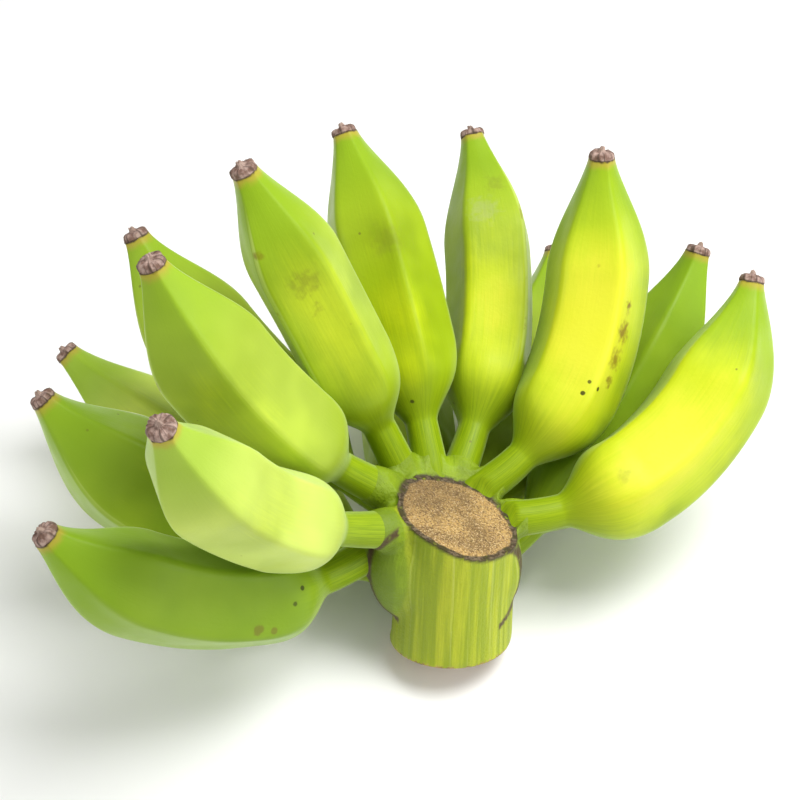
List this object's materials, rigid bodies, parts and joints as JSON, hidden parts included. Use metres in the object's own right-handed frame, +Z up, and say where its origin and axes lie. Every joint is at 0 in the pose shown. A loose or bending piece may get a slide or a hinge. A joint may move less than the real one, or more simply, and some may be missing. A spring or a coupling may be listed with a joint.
{
  "type": "hand of green bananas",
  "caption": "Hand of short plump green bananas in two rows round a cut length of stalk, with dried flower ends, lying leant back",
  "frame": {"origin": "middle of the footprint of the bounding box, on the surface that the hand lies on", "axes": "+X runs to the right across the hand, along its longest extent; +Y runs from the cut stalk back under the fingers; +Z is up"},
  "size_m": [0.2914, 0.2456, 0.184],
  "materials": {
    "skin": "smooth satin green banana skin with waxy bloom, pale ridge facets, yellowing cheeks and small brown scars",
    "stalk": "fibrous yellow-green stalk skin with lengthwise streaks and a dry tan knife cut with a dark ragged rim",
    "flower_end": "dry wrinkled grey-brown remains of the flower"
  },
  "bodies": {
    "root": {"stalk_crown": "stalk", "upper_finger_1": "skin", "upper_finger_2": "skin", "upper_finger_3": "skin", "upper_finger_4": "skin", "upper_finger_5": "skin", "upper_finger_6": "skin", "upper_finger_7": "skin", "lower_finger_1": "skin", "lower_finger_2": "skin", "lower_finger_3": "skin", "lower_finger_4": "skin", "lower_finger_5": "skin", "lower_finger_6": "skin", "lower_finger_7": "skin", "upper_flower_end_1": "flower_end", "upper_flower_end_2": "flower_end", "upper_flower_end_3": "flower_end", "upper_flower_end_4": "flower_end", "upper_flower_end_5": "flower_end", "upper_flower_end_6": "flower_end", "upper_flower_end_7": "flower_end", "lower_flower_end_1": "flower_end", "lower_flower_end_2": "flower_end", "lower_flower_end_3": "flower_end", "lower_flower_end_4": "flower_end", "lower_flower_end_5": "flower_end", "lower_flower_end_6": "flower_end", "lower_flower_end_7": "flower_end"}
  },
  "joints": []
}
